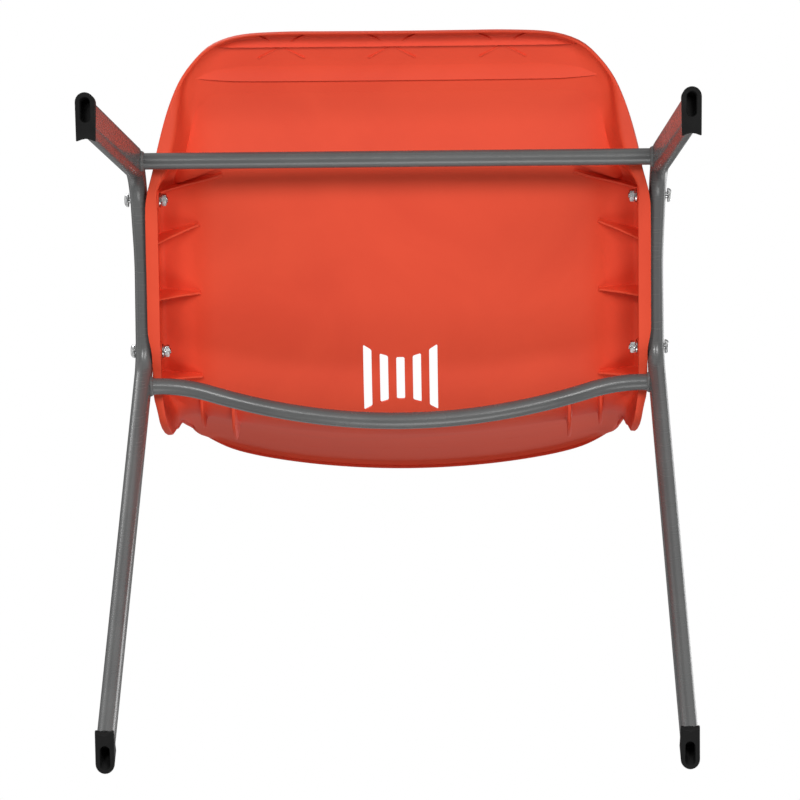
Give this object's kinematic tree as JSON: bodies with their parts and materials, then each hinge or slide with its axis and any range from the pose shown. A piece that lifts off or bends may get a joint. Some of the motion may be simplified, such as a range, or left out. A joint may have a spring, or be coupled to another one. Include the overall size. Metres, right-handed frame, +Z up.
{
  "type": "stacking chair",
  "caption": "Stacking chair with a one-piece moulded plastic seat and back, slotted vents, bent oval-tube side frames, welded crossbars and moulded foot caps.",
  "frame": {"origin": "on the floor, in the middle of the four feet", "axes": "+Z up, the seat's front edge faces -Y, +X is to the right of someone looking at the chair from the front edge towards the back"},
  "size_m": [0.5196, 0.603, 0.7969],
  "materials": {
    "shell": "orange-red polypropylene, satin, fine moulded grain",
    "frame_paint": "mid-grey powder coat, semi-gloss",
    "cap_plastic": "black moulded polyethylene",
    "zinc_fastener": "bright zinc plate"
  },
  "bodies": {
    "root": {"seat_back_shell": "shell", "right_side_tube": "frame_paint", "left_side_tube": "frame_paint", "front_crossbar": "frame_paint", "rear_crossbar": "frame_paint", "front_right_foot_cap": "cap_plastic", "front_left_foot_cap": "cap_plastic", "rear_right_foot_cap": "cap_plastic", "rear_left_foot_cap": "cap_plastic", "front_right_seat_screw": "zinc_fastener", "front_left_seat_screw": "zinc_fastener", "front_right_seat_washer": "zinc_fastener", "front_left_seat_washer": "zinc_fastener", "front_right_seat_nut": "zinc_fastener", "front_left_seat_nut": "zinc_fastener", "rear_right_seat_screw": "zinc_fastener", "rear_left_seat_screw": "zinc_fastener", "rear_right_seat_washer": "zinc_fastener", "rear_left_seat_washer": "zinc_fastener", "rear_right_seat_nut": "zinc_fastener", "rear_left_seat_nut": "zinc_fastener"}
  },
  "joints": []
}
